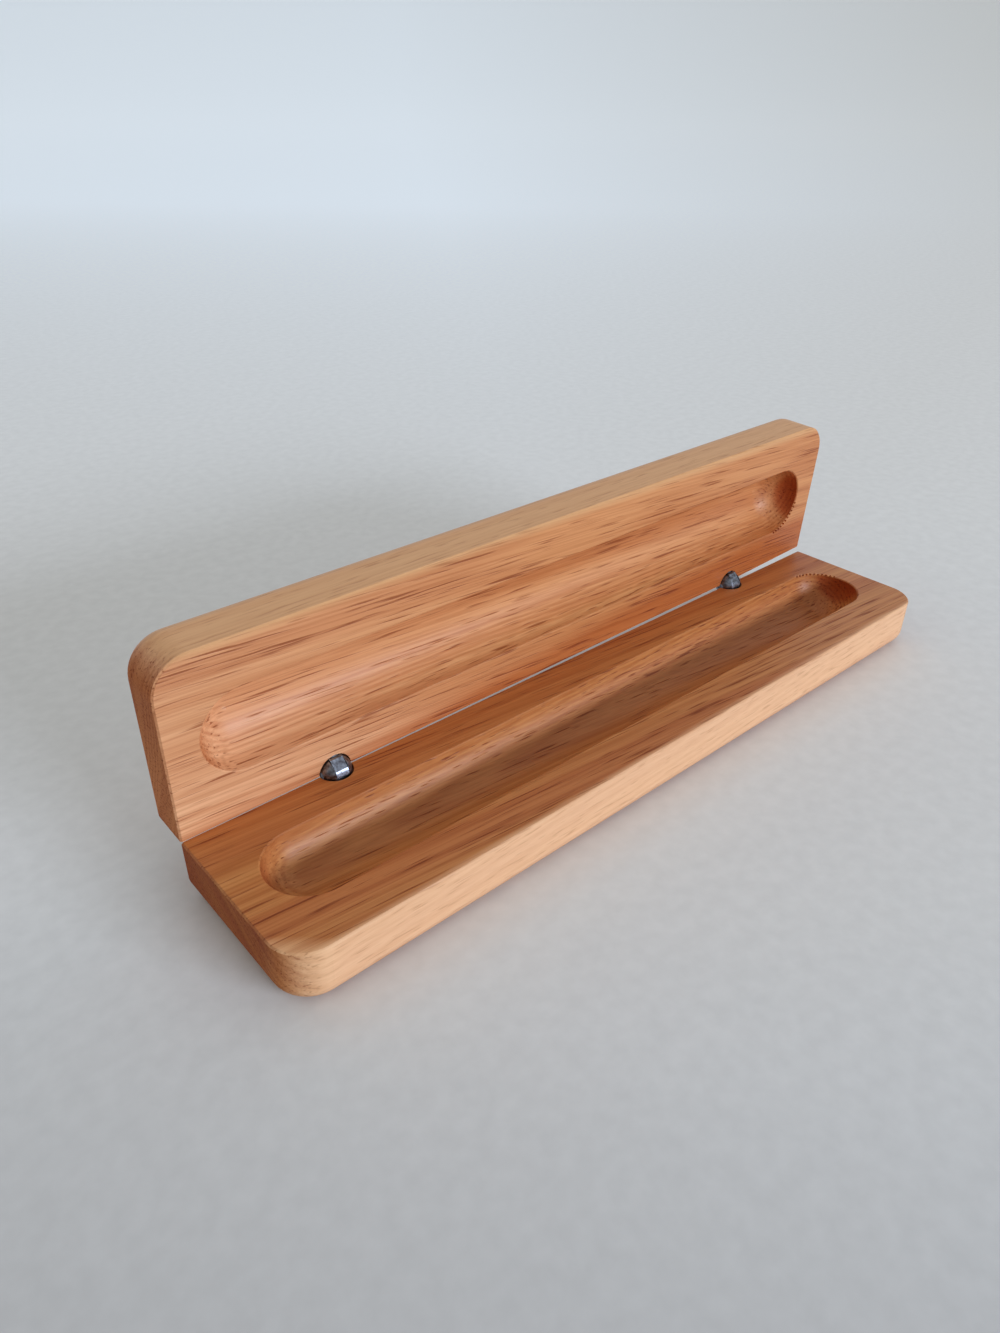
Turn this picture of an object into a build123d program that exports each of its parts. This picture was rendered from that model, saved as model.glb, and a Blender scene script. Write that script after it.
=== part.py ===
from build123d import *
import os
from math import cos, pi, radians, sqrt

# A wooden case for one pen. Two hollowed halves of solid oak, alike but for a taper at one
# end of the lid, are joined along one long edge by two small barrel hinges that sit in blind
# slanted holes. The case lies on its base with the lid standing open. X runs along the case,
# Y to the hinge edge and Z up, with the origin at the centre of the underside.

# Wooden halves
case_length = 170.0
case_depth = 33.5               # from the free edge to the hinge edge
half_thickness = 11.0           # from the mating face to the outer face
free_corner_radius = 6.7        # upright corners at the free edge
outer_edge_radius = 3.5         # outer face, at the free edge and both ends
hinge_edge_radius = 2.0         # outer face, along the hinge edge
mating_edge_break = 0.3         # mating face, at the free edge and both ends

# Pen groove, one in each half, cut by a round-nosed cutter
groove_cutter_radius = 8.0
groove_depth = 7.5
groove_end_margin = 6.0         # wood left at each end of the groove
groove_from_hinge_edge = 16.4   # hinge edge to the groove's centre line
groove_edge_break = 0.2

# Small chips in the groove's rim where the cutter stopped, at the right end of each half
chip_radius = 0.35
chip_depth = 0.7
chip_spacing = 0.9              # along the rim
chip_arc = 75.0                 # of the rim, from its hinge side round to the right

# Hinge line. It runs a little askew, so the open lid stands closer on the left.
closed_gap = 0.06               # between the mating faces of the shut case
hinge_end_distance = 29.0       # from each end of the case to its hinge
hinge_setback_left = 0.1        # hinge line behind the hinge edge
hinge_setback_right = 0.4
lid_edge_taper = 0.7            # lid's hinge edge, planed away from the right hinge to the end
open_angle = 88.0               # lid against its stop, from shut
barrel_slant = 45.0             # barrels to the mating faces

# Ball joint of a hinge: two ears on the lower barrel, a tongue on the upper one
ball_radius = 2.95
ball_seat_clearance = 0.3       # ball to the hollow in the wood
tongue_width = 2.5
tongue_side_clearance = 0.1
pin_radius = 0.7
pin_turning_clearance = 0.04    # in the tongue
pin_press_clearance = 0.01      # in the ears
pin_end_recess = 0.1

# Barrels
barrel_radius = 2.1
barrel_length = 7.85
barrel_shoulder_clearance = 0.2  # ball to the barrel's shoulder
barrel_hole_clearance = 0.02
barrel_hole_end_clearance = 0.2
barrel_end_chamfer = 0.3

# Snap action in the lower barrel: the tongue's rim is a round cam set off centre, and a
# sprung plunger bears on it, moving towards the hinge line as the lid closes.
cam_throw = 0.2                 # cam's centre off the hinge line
cam_rim_inset = 0.1             # cam's furthest point inside the ball
cam_flat_depth = 0.04           # flat that meets the plunger in the shut case
plunger_tip_clearance = 0.04
plunger_radius = 1.2
plunger_length = 2.5
plunger_bore_clearance = 0.04
spring_wire_radius = 0.2
spring_turns = 4
spring_bore_clearance = 0.1
spring_end_clearance = 0.05
plug_length = 1.4
plug_clearance = 0.01

# Places that follow from the sizes above
hinge_height = half_thickness + closed_gap / 2
hinge_x = case_length / 2 - hinge_end_distance
hinge_points = {
    "left": Vector(-hinge_x, case_depth / 2 + hinge_setback_left, hinge_height),
    "right": Vector(hinge_x, case_depth / 2 + hinge_setback_right, hinge_height),
}
hinge_direction = (hinge_points["right"] - hinge_points["left"]).normalized()
hinge_line = Axis(hinge_points["left"], hinge_direction)
hinge_places = {
    side: Location(Plane(origin=point, x_dir=hinge_direction, z_dir=(0, 0, 1)))
    for side, point in hinge_points.items()
}
shoulder = ball_radius + barrel_shoulder_clearance
barrel_end = shoulder + barrel_length
bore_radius = plunger_radius + plunger_bore_clearance
cam_radius = ball_radius - cam_rim_inset - cam_throw
cam_offset = cam_throw * cos(radians(barrel_slant))
cam_reach_shut = cam_radius - cam_offset
cam_reach_open = cam_radius - cam_throw * cos(radians(barrel_slant + open_angle))
plunger_travel = cam_reach_open - cam_reach_shut
plunger_tip = cam_reach_open + plunger_tip_clearance
plunger_back = plunger_tip + plunger_length
plug_front = barrel_end - plug_length


def lower(shape, side):
    """Place a piece of the lower barrel, drawn along -Z from the hinge line."""
    return hinge_places[side] * Rot(-barrel_slant, 0, 0) * shape


def upper(shape, side):
    """Place a piece of the upper barrel, drawn along +Z, as in the shut case."""
    return hinge_places[side] * Rot(barrel_slant, 0, 0) * shape


def opened(shape):
    """Swing a piece of the shut lid to its open rest."""
    return shape.rotate(hinge_line, -open_angle)


def upright(radius, start, end):
    """A cylinder about Z between two heights."""
    return Pos(0, 0, (start + end) / 2) * Cylinder(radius, abs(end - start))


def crosswise(radius, length):
    """A cylinder about the hinge line."""
    return Rot(0, 90, 0) * Cylinder(radius, length)


# Wooden half: a plank with two round corners, its outer face rounded over and its mating
# face hollowed by the groove. At the hinge edge the corners are left square, and the
# rounding runs straight through both ends.
outline = Rectangle(case_length, case_depth)
outline = fillet(outline.vertices().group_by(Axis.Y)[0], free_corner_radius)
half = extrude(outline, half_thickness)
outer_edges = half.faces().sort_by(Axis.Z)[0].edges().sort_by(Axis.Y)
half = fillet(outer_edges[:-1], outer_edge_radius)
mating_edges = half.faces().sort_by(Axis.Z)[-1].edges().sort_by(Axis.Y)
half = chamfer(mating_edges[:-1], mating_edge_break)
planed_off = Box(2 * case_length, 2 * hinge_edge_radius, 2 * hinge_edge_radius)
planed_off -= Pos(0, -hinge_edge_radius, hinge_edge_radius) * crosswise(hinge_edge_radius, 2 * case_length)
half -= Pos(0, case_depth / 2, 0) * planed_off

groove_rim_half_width = sqrt(groove_cutter_radius**2 - (groove_cutter_radius - groove_depth) ** 2)
groove_run = case_length - 2 * groove_end_margin - 2 * groove_rim_half_width
cutter = crosswise(groove_cutter_radius, groove_run)
for end in (-1, 1):
    cutter += Pos(end * groove_run / 2, 0, 0) * Sphere(groove_cutter_radius)
groove_y = case_depth / 2 - groove_from_hinge_edge
half -= Pos(0, groove_y, half_thickness - groove_depth + groove_cutter_radius) * cutter
rim = SlotCenterToCenter(groove_run, 2 * (groove_rim_half_width + groove_edge_break))
half -= extrude(Pos(0, groove_y, half_thickness) * rim, -groove_edge_break, taper=45)

# Hollow for one hinge: a ball seat at the mouth and a blind hole for the barrel
seat = Sphere(ball_radius + ball_seat_clearance)
hole_radius = barrel_radius + barrel_hole_clearance
lower_hollow = seat + upright(hole_radius, -(barrel_end + barrel_hole_end_clearance), 0)
upper_hollow = seat + upright(hole_radius, 0, barrel_end + barrel_hole_end_clearance)

# Chips along the rim of a groove's right end, in the base's mating face
rim_radius = groove_rim_half_width + groove_edge_break
chip_count = int(radians(chip_arc) * rim_radius / chip_spacing)
chips = Pos(groove_run / 2, groove_y, half_thickness) * PolarLocations(
    rim_radius, chip_count, start_angle=90 - chip_arc, angular_range=chip_arc
) * Cone(0, 2 * chip_radius, 2 * chip_depth)

base = half - chips
lid = Pos(0, 0, hinge_height) * Rot(0, 180, 0) * Pos(0, 0, -hinge_height) * half
lid -= [chip.mirror(Plane.XY.offset(hinge_height)) for chip in chips]
taper = Polygon((hinge_x, 0), (case_length / 2, -lid_edge_taper), (case_length / 2, 0), align=None)
lid -= Pos(0, case_depth / 2, hinge_height) * extrude(taper, 2 * half_thickness)
for side in hinge_places:
    base -= lower(lower_hollow, side)
    lid -= upper(upper_hollow, side)

# Lower barrel: a tube that ends in two ears, the outer slices of the ball
slot = Box(tongue_width + 2 * tongue_side_clearance, 4 * ball_radius, 4 * shoulder)
ears = Sphere(ball_radius) + upright(barrel_radius, -shoulder, 0)
ears -= Pos(0, 0, shoulder) * slot
ears -= crosswise(pin_radius + pin_press_clearance, 4 * ball_radius)
tube = upright(barrel_radius, -barrel_end, -shoulder)
tube = chamfer(tube.edges().sort_by(Axis.Z)[0], barrel_end_chamfer)
lower_barrel = ears + tube - upright(bore_radius, -2 * barrel_end, -plunger_tip + plunger_travel)

# Upper barrel: solid, ending in the tongue that turns between the ears. The rim that
# faces the plunger is the cam, and the flat on it faces the plunger in the shut case.
cam = Pos(0, cam_offset, -cam_offset) * crosswise(cam_radius, tongue_width)
head = crosswise(ball_radius, tongue_width)
head -= Pos(0, 0, -ball_radius) * Box(2 * tongue_width, 4 * ball_radius, 2 * ball_radius)
tongue = cam + head
flat_distance = cam_reach_shut - cam_flat_depth
tongue -= Pos(0, -flat_distance - ball_radius, 0) * Box(
    2 * tongue_width, 2 * ball_radius, 4 * ball_radius
)
neck = upright(barrel_radius, 0, shoulder)
neck &= Box(tongue_width, 4 * barrel_radius, 4 * shoulder)
stem = upright(barrel_radius, shoulder, barrel_end)
stem = chamfer(stem.edges().sort_by(Axis.Z)[-1], barrel_end_chamfer)
upper_barrel = tongue + neck + stem
upper_barrel -= crosswise(pin_radius + pin_turning_clearance, 2 * tongue_width)

# Pin on the hinge line, held by the ears, its ends just below the ball's surface
pin_length = 2 * (sqrt(ball_radius**2 - pin_radius**2) - pin_end_recess)
hinge_pin = crosswise(pin_radius, pin_length)

# Plunger, its spring and the plug that closes the lower barrel
plunger = upright(plunger_radius, -plunger_back, -plunger_tip)
spring_front = plunger_back + spring_end_clearance
spring_back = plug_front - spring_end_clearance
spring_rise = spring_back - spring_front - 2 * spring_wire_radius
spring_radius = bore_radius - spring_bore_clearance - spring_wire_radius
spring_path = Helix(pitch=spring_rise / spring_turns, height=spring_rise, radius=spring_radius)
spring_section = Plane(origin=spring_path @ 0, z_dir=spring_path % 0) * Circle(spring_wire_radius)
spring = Pos(0, 0, -spring_back + spring_wire_radius) * sweep(spring_section, path=spring_path)
barrel_plug = upright(bore_radius - plug_clearance, -barrel_end, -plug_front)

pieces = {"case_base": base, "case_lid": opened(lid)}
for side in hinge_places:
    pieces[f"lower_barrel_{side}"] = lower(lower_barrel, side)
    pieces[f"upper_barrel_{side}"] = opened(upper(upper_barrel, side))
    pieces[f"hinge_pin_{side}"] = lower(hinge_pin, side)
    pieces[f"plunger_{side}"] = lower(plunger, side)
    pieces[f"spring_{side}"] = lower(spring, side)
    pieces[f"barrel_plug_{side}"] = lower(barrel_plug, side)

os.makedirs("parts", exist_ok=True)
for node, piece in pieces.items():
    export_step(piece, f"parts/{node}.step")

print("plunger travel per radian of lid swing, mm:", plunger_travel / radians(open_angle))
turn_gap = spring_rise / spring_turns - 2 * spring_wire_radius
print("least gap between spring turns, mm:", turn_gap)
print("spring wire length, mm:", sqrt((2 * pi * spring_radius * spring_turns) ** 2 + spring_rise**2))
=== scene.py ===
import math

import bmesh
import bpy
from mathutils import Matrix, Vector

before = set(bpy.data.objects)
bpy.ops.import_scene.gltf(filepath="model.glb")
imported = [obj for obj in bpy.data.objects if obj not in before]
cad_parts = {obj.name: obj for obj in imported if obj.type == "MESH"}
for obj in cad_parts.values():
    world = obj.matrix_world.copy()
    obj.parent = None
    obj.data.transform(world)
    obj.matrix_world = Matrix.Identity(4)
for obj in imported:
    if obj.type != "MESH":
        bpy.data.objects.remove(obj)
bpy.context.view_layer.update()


# Base of the case: one length of red oak, hollowed for the pen and rounded over, then
# sanded and wiped with oil. Oil leaves open pores as short dark dashes along the grain,
# in rows where the rings begin, and a soft sheen. The front face at the free edge is
# painted paler as a painted sheen of the window light, and the front left corner is
# painted paler as painted light.
def linear(hex_colour):
    """An sRGB hex colour as linear red, green, blue and alpha."""
    channels = [int(hex_colour[i : i + 2], 16) / 255 for i in (1, 3, 5)]
    return [c / 12.92 if c <= 0.04045 else ((c + 0.055) / 1.055) ** 2.4 for c in channels] + [1]


def put(tree, kind, sockets=None, output=0, **settings):
    """Add a node with its settings and give one of its outputs. A socket takes a value or
    another node's output."""
    node = tree.nodes.new(kind)
    for name, value in settings.items():
        setattr(node, name, value)
    for name, value in (sockets or {}).items():
        if isinstance(value, bpy.types.NodeSocket):
            tree.links.new(value, node.inputs[name])
        else:
            node.inputs[name].default_value = value
    return node.outputs[output]


def set_stops(ramp, *stops):
    """Give the colour ramp of this output its stops, each a place and an sRGB hex colour."""
    elements = ramp.node.color_ramp.elements
    while len(elements) < len(stops):
        elements.new(1)
    for element, (place, colour) in zip(elements, stops):
        element.position = place
        element.color = linear(colour)


# sockets of a Mix node that mixes colours, by number because several share a name
share_in, under_in, over_in, mixed_out = 0, 6, 7, 2


def red_oak(name, tones, grain_turn, heart, areas):
    """Oiled red oak, in tones from reddest to palest. grain_turn lays the grain along X and
    heart is the tree's centre line, across the grain. Each of the areas where the wood is
    paler or redder, some of them painted light, has a direction, the two distances along it
    between which it sets in, how far the rings shift that border, its colour, and how much
    of the grain it keeps. Lengths are in millimetres."""
    wood = bpy.data.materials.new(name)
    wood.use_nodes = True
    tree = wood.node_tree
    surface = tree.nodes["Principled BSDF"]
    metres = put(tree, "ShaderNodeTexCoord", output="Object")
    to_millimetres = {0: metres, 1: (1000, 1000, 1000)}
    place = put(tree, "ShaderNodeVectorMath", to_millimetres, operation="MULTIPLY")
    along = put(tree, "ShaderNodeMapping", {"Vector": place, "Rotation": grain_turn})

    # four noises drawn out along the grain, each by length, width and detail: the waver of
    # the rings, the fibres, the pores, and the patches with more pores. Fibres are drawn
    # much coarser than real and pores a little coarser, so that they show.
    noises = []
    for length, width, detail in ((90, 14, 2), (30, 0.4, 2), (12, 0.4, 1), (60, 12, 1)):
        scale = (1 / length, 1 / width, 1 / width)
        drawn_out = put(tree, "ShaderNodeMapping", {"Vector": along, "Scale": scale})
        sockets = {"Vector": drawn_out, "Scale": 1, "Detail": detail}
        noises.append(put(tree, "ShaderNodeTexNoise", sockets))
    waver, fibre, pore, patch = noises

    # rings round the heart, 1.7 mm apart, wavering by a millimetre and unevenly spaced
    ring_spacing, waver_reach, uneven_reach, uneven_width = 1.7, 2.4, 4.0, 5
    across = put(tree, "ShaderNodeVectorMath", {0: along, 1: (0, 1, 1)}, operation="MULTIPLY")
    sockets = {0: across, 1: (0, *heart)}
    radius = put(tree, "ShaderNodeVectorMath", sockets, "Value", operation="DISTANCE")
    sockets = {0: waver, 1: waver_reach, 2: radius}
    radius = put(tree, "ShaderNodeMath", sockets, operation="MULTIPLY_ADD")
    sockets = {"W": radius, "Scale": 1 / uneven_width, "Detail": 0}
    uneven = put(tree, "ShaderNodeTexNoise", sockets, noise_dimensions="1D")
    sockets = {0: uneven, 1: uneven_reach, 2: radius}
    turn = put(tree, "ShaderNodeMath", sockets, operation="MULTIPLY_ADD")
    sockets = {0: turn, 1: 2 * math.pi / ring_spacing}
    turn = put(tree, "ShaderNodeMath", sockets, operation="MULTIPLY")
    ring = put(tree, "ShaderNodeMath", {0: turn}, operation="SINE")
    ring = put(tree, "ShaderNodeMapRange", {"Value": ring, "From Min": -1.0, "From Max": 1.0})

    # groups of rings, redder or paler
    group_width = 7
    sockets = {"W": radius, "Scale": 1 / group_width, "Detail": 1}
    group = put(tree, "ShaderNodeTexNoise", sockets, noise_dimensions="1D")
    tone = put(tree, "ShaderNodeValToRGB", {"Fac": group})
    set_stops(tone, *zip((0.34, 0.47, 0.58, 0.70), tones))

    # the areas, each with 0.8 of its own colour at most, and less of the grain
    most, kept = 0.8, 1.0
    for direction, start, full, shift, colour, kept_grain in areas:
        sockets = {0: place, 1: direction}
        reach = put(tree, "ShaderNodeVectorMath", sockets, "Value", operation="DOT_PRODUCT")
        sockets = {0: group, 1: shift, 2: reach}
        reach = put(tree, "ShaderNodeMath", sockets, operation="MULTIPLY_ADD")
        sockets = {"Value": reach, "From Min": start, "From Max": full, "To Max": most}
        share = put(tree, "ShaderNodeMapRange", sockets)
        sockets = {share_in: share, under_in: tone, over_in: linear(colour)}
        tone = put(tree, "ShaderNodeMix", sockets, mixed_out, data_type="RGBA")
        sockets = {"Value": share, "From Max": most, "To Min": 1.0, "To Max": kept_grain}
        keep = put(tree, "ShaderNodeMapRange", sockets)
        kept = put(tree, "ShaderNodeMath", {0: keep, 1: kept}, operation="MULTIPLY")

    # pores, most of them where a ring begins
    ring_gain = 0.055
    sockets = {"Value": patch, "From Min": 0.35, "From Max": 0.65, "To Min": -0.005, "To Max": 0.03}
    more = put(tree, "ShaderNodeMapRange", sockets)
    gain = put(tree, "ShaderNodeMath", {0: ring, 1: ring_gain, 2: more}, operation="MULTIPLY_ADD")
    pore = put(tree, "ShaderNodeMath", {0: pore, 1: gain}, operation="ADD")
    pore = put(tree, "ShaderNodeMapRange", {"Value": pore, "From Min": 0.64, "From Max": 0.76})
    pore = put(tree, "ShaderNodeMath", {0: pore, 1: kept}, operation="MULTIPLY")

    # darker fibres, and the darker early wood in which the pores lie
    fibre_share, early_share = 0.6, 0.65
    fibres = put(tree, "ShaderNodeMath", {0: kept, 1: fibre_share}, operation="MULTIPLY")
    fibre_stain = put(tree, "ShaderNodeValToRGB", {"Fac": fibre})
    set_stops(fibre_stain, (0.33, "#DCC6B6"), (0.60, "#FFFFFF"))
    early_wood = put(tree, "ShaderNodeMath", {0: kept, 1: early_share}, operation="MULTIPLY")
    early_stain = put(tree, "ShaderNodeValToRGB", {"Fac": ring})
    set_stops(early_stain, (0.2, "#FFFFFF"), (1.0, "#E9D6C8"))

    # end grain, darker because it drinks more oil
    normal = put(tree, "ShaderNodeTexCoord", output="Normal")
    facing = put(tree, "ShaderNodeSeparateXYZ", {"Vector": normal}, "X")
    steep = put(tree, "ShaderNodeMath", {0: facing}, operation="ABSOLUTE")
    ends = put(tree, "ShaderNodeMapRange", {"Value": steep, "From Min": 0.6, "From Max": 0.95})

    # painted shade on the right ends of the grooves, on the walls turned away from the window
    sockets = {"Value": facing, "From Min": -0.66, "From Max": -0.80}
    painted_shade_right_ends = put(tree, "ShaderNodeMapRange", sockets)
    right = put(tree, "ShaderNodeSeparateXYZ", {"Vector": place}, "X")
    right = put(tree, "ShaderNodeMath", {0: right, 1: 0.0}, operation="GREATER_THAN")
    painted_shade_right_ends = put(tree, "ShaderNodeMath", {0: painted_shade_right_ends, 1: right}, operation="MULTIPLY")

    # each of these darkens the tone in turn
    stains = (
        (fibres, fibre_stain),
        (early_wood, early_stain),
        (ends, linear("#DEB890")),
        (painted_shade_right_ends, linear("#F0C8A8")),
        (pore, linear("#C2A48F")),
    )
    for share, stain in stains:
        sockets = {share_in: share, under_in: tone, over_in: stain}
        settings = {"data_type": "RGBA", "blend_type": "MULTIPLY"}
        tone = put(tree, "ShaderNodeMix", sockets, mixed_out, **settings)
    tree.links.new(tone, surface.inputs["Base Color"])

    # sheen of the oil, duller in the pores and on the end grain
    smooth, in_pores, on_ends = 0.42, 0.59, 0.4
    rough = put(tree, "ShaderNodeMapRange", {"Value": pore, "To Min": smooth, "To Max": in_pores})
    rough = put(tree, "ShaderNodeMath", {0: ends, 1: on_ends, 2: rough}, operation="MULTIPLY_ADD")
    tree.links.new(rough, surface.inputs["Roughness"])
    surface.inputs["IOR"].default_value = 1.5
    surface.inputs["Specular IOR Level"].default_value = 0.36

    # pores sunk 0.04 mm deep, and fibres that stand 0.02 mm proud
    pore_depth, fibre_height = 0.00004, 0.00002
    relief = put(tree, "ShaderNodeBump", {"Height": pore, "Distance": pore_depth}, invert=True)
    sockets = {"Height": fibre, "Distance": fibre_height, "Normal": relief}
    relief = put(tree, "ShaderNodeBump", sockets)
    tree.links.new(relief, surface.inputs["Normal"])
    return wood


def finish_node(node, material):
    """Give a solid of the case its material."""
    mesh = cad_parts[node].data
    mesh.materials.clear()
    mesh.materials.append(material)


base_oak = red_oak(
    "red_oak_base",
    tones=("#BE7846", "#C4824C", "#C98A52", "#CF945D"),
    grain_turn=(0, 0, math.radians(4.6)),
    heart=(35, -60),
    areas=(
        ((0, -1, 0), 15.4, 16.7, 0.0, "#F4C69E", 0.35),  # painted sheen of the window, paler on the front face at the free edge
        ((0.03, 1, 0), 8.0, 17.0, 5.0, "#BC6F37", 1.0),  # redder by the hinges
        ((-0.7, -0.7, 0), 66.0, 69.5, 2.0, "#F2C498", 0.7),  # and painted light, paler round the front left corner
    ),
)
finish_node("case_base", base_oak)


# Lid: the second half of the same board, standing open behind the base. Its grain falls
# towards the hinge edge from left to right.
lid_oak = red_oak(
    "red_oak_lid",
    tones=("#CE885C", "#D79662", "#DEA26C", "#E6B07A"),
    grain_turn=(0, math.radians(-3), 0),
    heart=(80, 45),
    areas=(
        ((-1, 0, -0.4), 0.0, 90.0, 20.0, "#E0A57C", 1.0),  # pale at the left end
        ((-0.8, 0, -2.5), -12.0, 14.0, 10.0, "#F1BB90", 1.0),  # most of all below the groove
        ((1, 0, 0.3), 40.0, 90.0, 20.0, "#D3905C", 1.0),  # a little darker at the right end
        ((0, 0, 1), 43.0, 44.4, 0.0, "#DAA877", 0.4),  # paler along the free edge
        ((0.06, 0, -1), -15.5, -11.5, 5.0, "#BB6831", 1.0),  # redder by the hinges
    ),
)
finish_node("case_lid", lid_oak)


# Hinges: small sprung barrels of steel with a dark gunmetal plating, pressed into slanted
# holes. Only the ball joint with its flats shows, its plating worn a little blotchy.
gunmetal = bpy.data.materials.new("gunmetal_plated_steel")
gunmetal.use_nodes = True
tree = gunmetal.node_tree
surface = tree.nodes["Principled BSDF"]
place = put(tree, "ShaderNodeTexCoord", output="Object")
blotch_width = 0.8 / 1000
sockets = {"Vector": place, "Scale": 1 / blotch_width, "Detail": 2}
blotch = put(tree, "ShaderNodeTexNoise", sockets)
tone = put(tree, "ShaderNodeValToRGB", {"Fac": blotch})
set_stops(tone, (0.35, "#5C5C66"), (0.65, "#98A0B0"))
tree.links.new(tone, surface.inputs["Base Color"])
surface.inputs["Metallic"].default_value = 1.0
rough = put(tree, "ShaderNodeMapRange", {"Value": blotch, "To Min": 0.25, "To Max": 0.42})
tree.links.new(rough, surface.inputs["Roughness"])
blotch_height = 0.00001
relief = put(tree, "ShaderNodeBump", {"Height": blotch, "Distance": blotch_height})
tree.links.new(relief, surface.inputs["Normal"])
for side in ("left", "right"):
    for piece in ("lower_barrel", "upper_barrel", "hinge_pin", "barrel_plug"):
        finish_node(f"{piece}_{side}", gunmetal)


# Springs and plungers: plain drawn steel, hidden inside the lower barrels. It is bright,
# with fine drawing marks, here drawn coarser than real.
drawn_steel = bpy.data.materials.new("drawn_spring_steel")
drawn_steel.use_nodes = True
tree = drawn_steel.node_tree
surface = tree.nodes["Principled BSDF"]
place = put(tree, "ShaderNodeTexCoord", output="Object")
marks_per_metre = 10000
mark = put(tree, "ShaderNodeTexNoise", {"Vector": place, "Scale": marks_per_metre, "Detail": 1})
tone = put(tree, "ShaderNodeValToRGB", {"Fac": mark})
set_stops(tone, (0.3, "#8C8E92"), (0.7, "#A6A8AB"))
tree.links.new(tone, surface.inputs["Base Color"])
surface.inputs["Metallic"].default_value = 1.0
surface.inputs["Roughness"].default_value = 0.3
for side in ("left", "right"):
    for piece in ("spring", "plunger"):
        finish_node(f"{piece}_{side}", drawn_steel)


# Studio floor: a wide sheet of pale satin paper, flat round the case and rising gently far
# behind it. Painted light makes it whiter and faintly glowing far behind, and painted shade
# makes it darker to the front left. It is turned so that it rises straight behind the case
# as the camera sees it.
half_width, flat_behind, rise_radius = 6, 2, 10
rise_angle, sheet_turn = math.radians(22), math.radians(-41)
sheet = bmesh.new()
front = sheet.edges.new([sheet.verts.new((x, -half_width, 0)) for x in (-half_width, half_width)])
swept = bmesh.ops.extrude_edge_only(sheet, edges=[front])["geom"]
back_corners = [v for v in swept if isinstance(v, bmesh.types.BMVert)]
bmesh.ops.translate(sheet, verts=back_corners, vec=(0, half_width + flat_behind, 0))
edges = [e for e in swept if isinstance(e, bmesh.types.BMEdge)]
bmesh.ops.spin(
    sheet,
    geom=[e for e in edges if all(v in back_corners for v in e.verts)],
    cent=(0, flat_behind, rise_radius),
    axis=(1, 0, 0),
    angle=rise_angle,
    steps=40,
    use_duplicate=False,
)
turned = Matrix.Rotation(sheet_turn, 3, "Z")
bmesh.ops.rotate(sheet, verts=sheet.verts, cent=(0, 0, 0), matrix=turned)
bmesh.ops.recalc_face_normals(sheet, faces=sheet.faces)
for face in sheet.faces:
    face.smooth = True
paper_mesh = bpy.data.meshes.new("paper_floor")
sheet.to_mesh(paper_mesh)
sheet.free()
paper_floor = bpy.data.objects.new("paper_floor", paper_mesh)
bpy.context.scene.collection.objects.link(paper_floor)

# painted light: the paper is painted lighter with distance behind the case, in metres
to_back = (0.656, 0.755, 0)
to_right = (0.755, -0.656, 0)
to_front_left = (-0.82, -0.57, 0)
paper = bpy.data.materials.new("satin_paper")
paper.use_nodes = True
tree = paper.node_tree
surface = tree.nodes["Principled BSDF"]
place = put(tree, "ShaderNodeTexCoord", output="Object")
sockets = {0: place, 1: to_back}
back = put(tree, "ShaderNodeVectorMath", sockets, "Value", operation="DOT_PRODUCT")
behind = put(tree, "ShaderNodeMapRange", {"Value": back, "From Min": -0.2, "From Max": 2.4})
tone = put(tree, "ShaderNodeValToRGB", {"Fac": behind})
near_stops = (0.03, "#D3D6DC"), (0.06, "#E3E5E8"), (0.12, "#EAEBED")
far_stops = (0.4, "#EEF0F3"), (1.0, "#F8FAFD")
set_stops(tone, *near_stops, *far_stops)

# faint mottling of the sheet
mottle_width = 3 / 1000
sockets = {"Vector": place, "Scale": 1 / mottle_width, "Detail": 2}
mottle = put(tree, "ShaderNodeTexNoise", sockets)
shade = put(tree, "ShaderNodeValToRGB", {"Fac": mottle})
set_stops(shade, (0.3, "#F8F8F8"), (0.7, "#FFFFFF"))
sockets = {share_in: 1.0, under_in: tone, over_in: shade}
tone = put(tree, "ShaderNodeMix", sockets, mixed_out, data_type="RGBA", blend_type="MULTIPLY")

# painted shade, darker and warmer to the front left
sockets = {0: place, 1: to_front_left}
painted_shade_front_left = put(tree, "ShaderNodeVectorMath", sockets, "Value", operation="DOT_PRODUCT")
painted_shade_front_left = put(tree, "ShaderNodeMapRange", {"Value": painted_shade_front_left, "From Min": 0.07, "From Max": 0.3})
sockets = {share_in: painted_shade_front_left, under_in: tone, over_in: linear("#9D9892")}
tone = put(tree, "ShaderNodeMix", sockets, mixed_out, data_type="RGBA")
tree.links.new(tone, surface.inputs["Base Color"])

# painted light: a faint glow of the paper's own far behind on the left, for the sky in a window
sockets = {0: place, 1: to_right}
side_share = put(tree, "ShaderNodeVectorMath", sockets, "Value", operation="DOT_PRODUCT")
side_share = put(tree, "ShaderNodeMath", {0: side_share, 1: back}, operation="DIVIDE")
left = put(tree, "ShaderNodeMapRange", {"Value": side_share, "From Min": 0.6, "From Max": -0.1})
sockets = {"Value": back, "From Min": 0.05, "From Max": 0.9, "To Max": 0.28}
far = put(tree, "ShaderNodeMapRange", sockets)
glow = put(tree, "ShaderNodeMath", {0: far, 1: left}, operation="MULTIPLY")
tree.links.new(glow, surface.inputs["Emission Strength"])
surface.inputs["Emission Color"].default_value = linear("#C4E1FF")
surface.inputs["Roughness"].default_value = 0.6
surface.inputs["IOR"].default_value = 1.45
paper_mesh.materials.append(paper)


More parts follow.
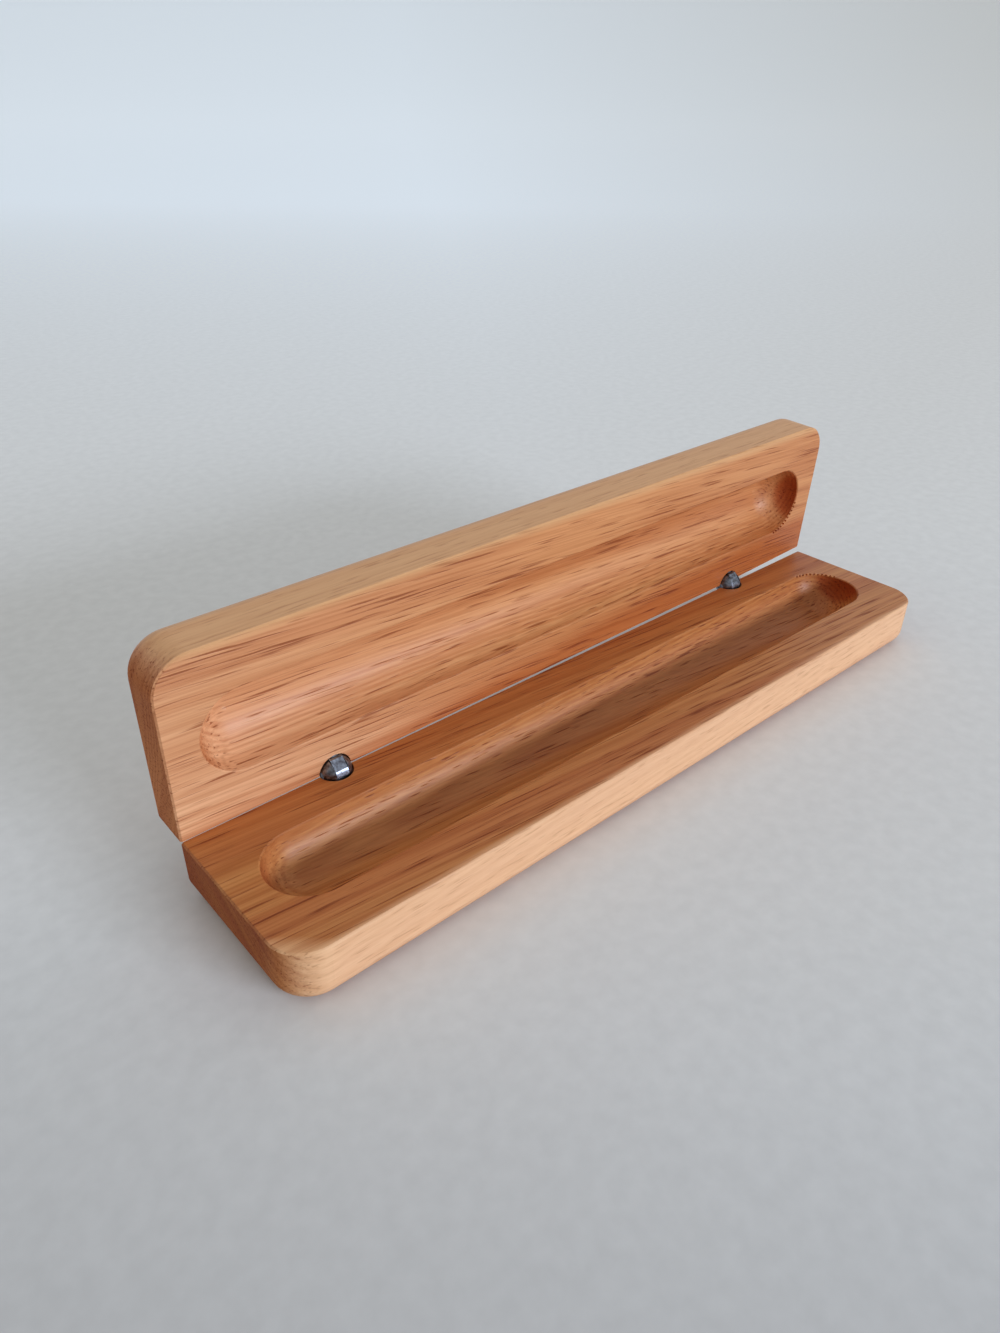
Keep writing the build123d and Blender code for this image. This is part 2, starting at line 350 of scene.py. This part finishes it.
# Light: a cool window low down in front, a little to the right, and a pale room that is
# dimmer and warmer in front and bright and cool behind.
window_place, window_aim = Vector((0.555, -2.227, 0.702)), Vector((0, 0, 0.02))
window = bpy.data.lights.new("window_light", "AREA")
window.shape = "RECTANGLE"
window.size, window.size_y = 1.3, 0.4
window.energy = 42
window.color = linear("#E8F1FF")[:3]
pane = bpy.data.objects.new("window_light", window)
pane.location = window_place
pane.rotation_euler = (window_aim - window_place).to_track_quat("-Z", "Y").to_euler()
pane.visible_camera = False
bpy.context.scene.collection.objects.link(pane)

to_bright_side = (0.60, 0.80, 0)
room = bpy.data.worlds.new("pale_room")
room.use_nodes = True
tree = room.node_tree
ray = put(tree, "ShaderNodeTexCoord", output="Generated")
sockets = {0: ray, 1: to_bright_side}
back = put(tree, "ShaderNodeVectorMath", sockets, "Value", operation="DOT_PRODUCT")
back = put(tree, "ShaderNodeMapRange", {"Value": back, "From Min": -1.0, "From Max": 1.0})
glow = put(tree, "ShaderNodeValToRGB", {"Fac": back})
set_stops(glow, (0.0, "#96948E"), (0.5, "#C0BFB8"), (1.0, "#DDE3E9"))
tree.links.new(glow, tree.nodes["Background"].inputs["Color"])
tree.nodes["Background"].inputs["Strength"].default_value = 1.0
bpy.context.scene.world = room


# Camera: looks down at the open case from the front left. Its place and the point that it
# looks at are in millimetres.
camera_place, camera_aim = (-122.279, -102.1, 115.912), (-10.315, 25.102, 10.126)
camera_roll = math.radians(0.601)
camera = bpy.data.cameras.new("camera")
camera.sensor_fit = "HORIZONTAL"
camera.sensor_width = 36
camera.lens = 34.353
camera.clip_start = 0.01
view = bpy.data.objects.new("camera", camera)
look = (Vector(camera_aim) - Vector(camera_place)).to_track_quat("-Z", "Y").to_matrix().to_4x4()
turn = look @ Matrix.Rotation(camera_roll, 4, "Z")
view.matrix_world = Matrix.Translation([c / 1000 for c in camera_place]) @ turn
bpy.context.scene.collection.objects.link(view)
bpy.context.scene.camera = view
bpy.context.scene.view_settings.view_transform = "Standard"
